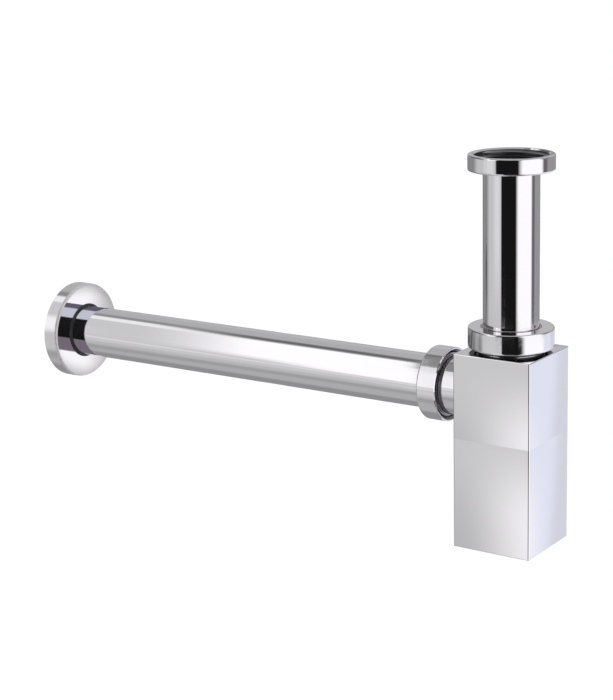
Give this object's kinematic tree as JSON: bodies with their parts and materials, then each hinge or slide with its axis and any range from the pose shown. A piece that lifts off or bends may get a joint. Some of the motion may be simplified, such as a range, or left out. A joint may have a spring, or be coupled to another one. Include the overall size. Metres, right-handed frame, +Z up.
{
  "type": "bottle trap",
  "caption": "Square-bodied chrome bottle trap for a basin, with a height-adjustable dip tube, screw-off cup, straight outlet pipe and round wall flange.",
  "frame": {"origin": "on the dip tube's axis, at the lower end of the coupling thread, which is the top face of the washer that the basin waste screws down on", "axes": "+Z up along the dip tube, towards the basin; the outlet pipe runs along -X to the wall"},
  "size_m": [0.3575, 0.0616, 0.2265],
  "materials": {
    "turned_chrome": "polished",
    "body_chrome": "polished",
    "black_rubber": "matte",
    "white_nylon": "matte"
  },
  "bodies": {
    "inlet": {"inlet_tube": "turned_chrome", "basin_washer": "black_rubber"},
    "coupling_nut": {"coupling_nut": "turned_chrome"},
    "tube_grip": {"inlet_seal": "black_rubber"},
    "trap_body": {"trap_body": "body_chrome"},
    "inlet_ring": {"inlet_slip_ring": "white_nylon"},
    "inlet_nut": {"inlet_nut": "turned_chrome"},
    "cup_washer": {"cup_seal": "black_rubber"},
    "cup": {"bottle_cup": "body_chrome"},
    "outlet_ring": {"outlet_slip_ring": "white_nylon"},
    "outlet_nut": {"outlet_nut": "turned_chrome"},
    "pipe_grip": {"outlet_seal": "black_rubber"},
    "outlet_pipe": {"outlet_pipe": "turned_chrome"},
    "flange_grip": {"flange_grip_ring": "black_rubber"},
    "flange": {"wall_flange": "turned_chrome"}
  },
  "joints": [
    {"name": "coupling_nut_turn", "type": "hinge", "parent": "inlet", "child": "coupling_nut", "pos_m": [0, 0, 0], "axis": [0, 0, 1], "continuous": true},
    {"name": "height_slide", "type": "slide", "parent": "inlet", "child": "tube_grip", "axis": [0, 0, 1], "range_m": [-0.05, 0.01]},
    {"name": "body_swivel", "type": "hinge", "parent": "tube_grip", "child": "trap_body", "pos_m": [0, 0, -0.12], "axis": [0, 0, 1], "continuous": true},
    {"name": "inlet_nut_lift", "type": "slide", "parent": "trap_body", "child": "inlet_ring", "axis": [0, 0, 1], "range_m": [0, 0.00693]},
    {"name": "inlet_nut_turn", "type": "hinge", "parent": "inlet_ring", "child": "inlet_nut", "pos_m": [0, 0, -0.12], "axis": [0, 0, 1], "range_deg": [0, 1080]},
    {"name": "cup_drop", "type": "slide", "parent": "trap_body", "child": "cup_washer", "axis": [0, 0, -1], "range_m": [0, 0.009]},
    {"name": "cup_turn", "type": "hinge", "parent": "cup_washer", "child": "cup", "pos_m": [0, 0, -0.16], "axis": [0, 0, -1], "range_deg": [0, 2160]},
    {"name": "outlet_nut_back", "type": "slide", "parent": "trap_body", "child": "outlet_ring", "axis": [-1, 0, 0], "range_m": [0, 0.006]},
    {"name": "outlet_nut_turn", "type": "hinge", "parent": "outlet_ring", "child": "outlet_nut", "pos_m": [-0.06, 0, -0.1324], "axis": [-1, 0, 0], "range_deg": [0, 1440]},
    {"name": "pipe_turn", "type": "hinge", "parent": "trap_body", "child": "pipe_grip", "pos_m": [-0.06, 0, -0.1324], "axis": [-1, 0, 0], "continuous": true},
    {"name": "pipe_slide", "type": "slide", "parent": "pipe_grip", "child": "outlet_pipe", "axis": [-1, 0, 0], "range_m": [-0.0095, 0.008]},
    {"name": "flange_slide", "type": "slide", "parent": "outlet_pipe", "child": "flange_grip", "axis": [1, 0, 0], "range_m": [-0.012, 0.245]},
    {"name": "flange_turn", "type": "hinge", "parent": "flange_grip", "child": "flange", "pos_m": [-0.316, 0, -0.1324], "axis": [-1, 0, 0], "continuous": true}
  ],
  "couplings": [
    {"joint": "inlet_nut_lift", "follows": "inlet_nut_turn", "m_per_rad": 0.0003675},
    {"joint": "cup_drop", "follows": "cup_turn", "m_per_rad": 0.00023873},
    {"joint": "outlet_nut_back", "follows": "outlet_nut_turn", "m_per_rad": 0.00023873}
  ]
}
